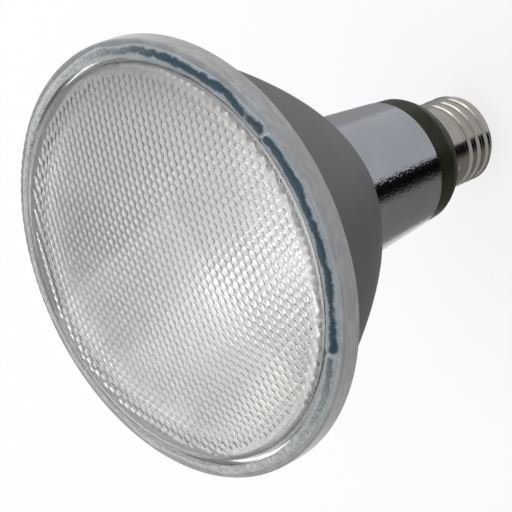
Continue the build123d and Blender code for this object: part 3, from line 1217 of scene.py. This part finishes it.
@dataclass
class Dressing:
    """Finishes of the pieces that keep the shape of their solids."""

    mount_pieces: Sequence[str] = ("seal_foil", "mount_post", "ferrule")
    sides: Sequence[str] = ("a", "b")
    leads: Sequence[str] = ("shell_lead", "contact_lead")

    def finishes(self) -> dict[str, Finish]:
        """Chooses the finish of each node.

        Returns:
            The finishes by node.
        """
        wire = SpunMetal("mount_wire", (0.6, 0.6, 0.6), 0.22, 0.004)
        copper = SpunMetal("copper_wire", (0.72, 0.42, 0.3), 0.25, 0.004)
        return {
            "reflector": CoatedBowl(),
            "skirt": SpunMetal("skirt_aluminium", (0.31, 0.323, 0.352), 0.12, 0.07, 1400.0),
            "insulating_ring": GlossyMoulding(
                "dark_moulding", (0.008, 0.0095, 0.004), (0.018, 0.021, 0.009), 0.34
            ),
            "screw_shell": SpunMetal("nickel_plate", (0.34, 0.324, 0.292), 0.19, 0.02),
            "side_weld": DullPaste("weld_metal", (0.5, 0.5, 0.5), 1.0, 0.35),
            "base_insulator": GlossyMoulding(
                "black_glass", (0.006, 0.006, 0.007), (0.012, 0.012, 0.014), 0.1
            ),
            "centre_contact": SpunMetal("contact_brass", (0.72, 0.56, 0.3), 0.25, 0.006),
            "contact_solder": DullPaste("soft_solder", (0.6, 0.6, 0.61), 1.0, 0.38),
            "basing_cement": DullPaste("basing_cement", (0.6, 0.58, 0.54), 0.0, 0.85),
            "capsule": PressedGlass("clear_quartz", (0.98, 0.985, 0.99), 0.004),
            "filament": DullPaste("tungsten", (0.3, 0.3, 0.31), 1.0, 0.4),
            **{f"{piece}_{side}": wire for piece in self.mount_pieces for side in self.sides},
            **{node: copper for node in self.leads},
        }

    def dress(self) -> None:
        """Gives every solid that keeps its shape its material."""
        made: dict[str, bpy.types.Material] = {}
        for node, finish in self.finishes().items():
            if finish.name not in made:
                made[finish.name] = finish.make()
            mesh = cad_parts[node].data
            mesh.materials.clear()
            mesh.materials.append(made[finish.name])
            log.info("dressed %s with %s", node, finish.name)


@dataclass
class Softbox:
    """Square area lamp that faces the object; lengths in metres."""

    name: str
    place: Place
    size: float
    watts: float
    target: Place = (0.0, 0.0, 0.06)

    def build(self) -> None:
        """Hangs the lamp."""
        lamp = bpy.data.lights.new(self.name, "AREA")
        lamp.size = self.size
        lamp.energy = self.watts
        holder = bpy.data.objects.new(self.name, lamp)
        bpy.context.scene.collection.objects.link(holder)
        aim = (Vector(self.target) - Vector(self.place)).to_track_quat("-Z", "Y")
        holder.matrix_world = Matrix.Translation(self.place) @ aim.to_matrix().to_4x4()


# Painted shade: the card stands in for dark surroundings and shaded floor, and only metal and glass see it.
@dataclass
class ShadeCard:
    """Card of painted shade on the floor, out of the picture, that bright metal shows as a dark band.

    It is part of a ring round the lamp. Its dark side lies at shade_turn, and solid and fade are the
    cosines of the angles from there at which the dark ends and the pale side begins.
    """

    name: str
    turns: Point
    shade_turn: float
    # Painted shade: the card's darkest colour, standing in for shade in reflections.
    dark: Colour
    pale: Colour
    fade: float
    solid: float = 0.985
    near: float = 14.0
    far: float = 160.0
    lift: float = 0.3
    facets: int = 12
    rough: float = 0.95

    def build(self) -> None:
        """Lays the card of painted shade, which only metal and glass show."""
        height = millimetres(CAD_BOX[0].z) + self.lift
        card = Bench.profile(self.name, ((self.near, height), (self.far, height)))
        Bench.sweep(*(math.radians(turn) for turn in self.turns), self.facets)
        Bench.close()
        card.visible_camera = False
        card.visible_diffuse = False
        card.visible_shadow = False
        card.data.materials.append(self.paper())

    def paper(self) -> bpy.types.Material:
        """Builds the card's material, painted shade that is dark on one side and paler towards the other.

        Returns:
            The material.
        """
        desk = NodeDesk(self.name + "_paper")
        across, along, _ = desk.axes()
        middle = math.radians(self.shade_turn)
        lean = desk.sum(
            Sum.ADD,
            desk.sum(Sum.MULTIPLY, across, math.cos(middle)),
            desk.sum(Sum.MULTIPLY, along, math.sin(middle)),
        )
        cosine = desk.sum(Sum.DIVIDE, lean, desk.radius())
        share = desk.ramp(cosine, (self.solid, self.fade), ease=Ease.SOFT)
        # Painted shade: dark colour on the card's dark side, paler towards the other.
        desk.set(
            Base_Color=desk.colour(share, self.dark, self.pale),
            Roughness=self.rough,
            Specular_IOR_Level=0.0,
        )
        return desk.material


@dataclass
class Studio:
    """Pale floor, soft lamps, cards of painted shade and even world; lengths in metres."""

    floor_size: float = 8.0
    floor_colour: Colour = (0.9, 0.9, 0.9)
    floor_tone: float = 0.985
    floor_clouds: Grain = Grain(3.0)
    floor_rough: float = 0.9
    floor_glow: float = 0.75
    world_colour: Colour = (0.98, 0.99, 1.0)
    world_strength: float = 0.76
    lamps: Sequence[Softbox] = (
        Softbox("softbox_side", (0.9, -0.25, 0.25), 0.8, 4.0),
        Softbox("softbox_top", (0.1, 0.2, 1.2), 0.9, 2.6),
        Softbox("softbox_front", (0.7, -0.7, 0.4), 0.7, 1.3),
        Softbox("softbox_back", (-0.3, 0.85, 0.6), 0.7, 1.5),
    )
    # Painted shade: dark cards that metal and glass show in place of dark surroundings and shaded floor.
    shade_cards: Sequence[ShadeCard] = (
        ShadeCard("shade_card", (150.0, 257.0), 250.0, (0.008, 0.008, 0.008), (0.46, 0.44, 0.41), 0.88),
        ShadeCard("shade_card_back", (0.0, 120.0), 75.0, (0.42, 0.42, 0.42), (0.68, 0.68, 0.68), 0.3),
    )

    def floor(self) -> None:
        """Lays the floor under the contact tip."""
        Bench.clear()
        bpy.ops.mesh.primitive_plane_add(size=self.floor_size, location=(0, 0, CAD_BOX[0].z))
        floor = bpy.context.object
        floor.name = "studio_floor"
        desk = NodeDesk("floor_paper")
        shaded = tone(self.floor_colour, self.floor_tone)
        desk.set(
            Base_Color=desk.colour(desk.grain(self.floor_clouds), self.floor_colour, shaded),
            Roughness=self.floor_rough,
        )
        desk.glow(self.floor_glow)
        floor.data.materials.append(desk.material)

    def world(self) -> None:
        """Sets the even light from all round."""
        world = bpy.data.worlds.new("studio_world")
        world.use_nodes = True
        sky = world.node_tree.nodes["Background"]
        sky.inputs["Color"].default_value = (*self.world_colour, 1.0)
        sky.inputs["Strength"].default_value = self.world_strength
        bpy.context.scene.world = world

    def build(self) -> None:
        """Builds floor, world, lamps and cards of painted shade."""
        self.floor()
        self.world()
        for piece in (*self.lamps, *self.shade_cards):
            piece.build()
        bpy.context.scene.view_settings.view_transform = "Standard"


@dataclass
class PhotoCamera:
    """Camera at the photograph's viewing angle.

    Angles are in degrees and places in metres, and the focal length and the sensor are in millimetres.
    """

    elevation: float = 38.6
    roll: float = 246.2
    distance: float = 0.6
    focal: float = 161.1
    sensor: float = 36.0
    clip: float = 0.01
    target: Place = (0.0, 0.0, 0.1007)
    yaw: float = -2.11
    pitch: float = 0.185

    def build(self) -> None:
        """Sets the camera up."""
        camera = bpy.data.cameras.new("photo_camera")
        camera.lens = self.focal
        camera.sensor_width = self.sensor
        camera.clip_start = self.clip
        holder = bpy.data.objects.new("photo_camera", camera)
        bpy.context.scene.collection.objects.link(holder)
        tilt, roll = math.radians(self.elevation), math.radians(self.roll)
        forward = Vector((0.0, math.cos(tilt), -math.sin(tilt)))
        level, climb = Vector((1.0, 0.0, 0.0)), Vector((0.0, math.sin(tilt), math.cos(tilt)))
        right = level * math.cos(roll) + climb * math.sin(roll)
        upward = climb * math.cos(roll) - level * math.sin(roll)
        turn = Matrix((right, upward, -forward)).transposed().to_4x4()
        aim = Euler((math.radians(self.pitch), math.radians(self.yaw), 0.0)).to_matrix().to_4x4()
        place = Vector(self.target) - forward * self.distance
        holder.matrix_world = Matrix.Translation(place) @ turn @ aim
        bpy.context.scene.camera = holder


def main() -> None:
    """Builds the lamp, its finishes, the studio and the camera."""
    logging.basicConfig(level=logging.INFO, format="%(name)s: %(message)s")
    lens = Lens()
    Dressing().dress()
    lens.build()
    RimSeal(lens).build()
    Studio().build()
    PhotoCamera().build()


if __name__ == "__main__":
    main()
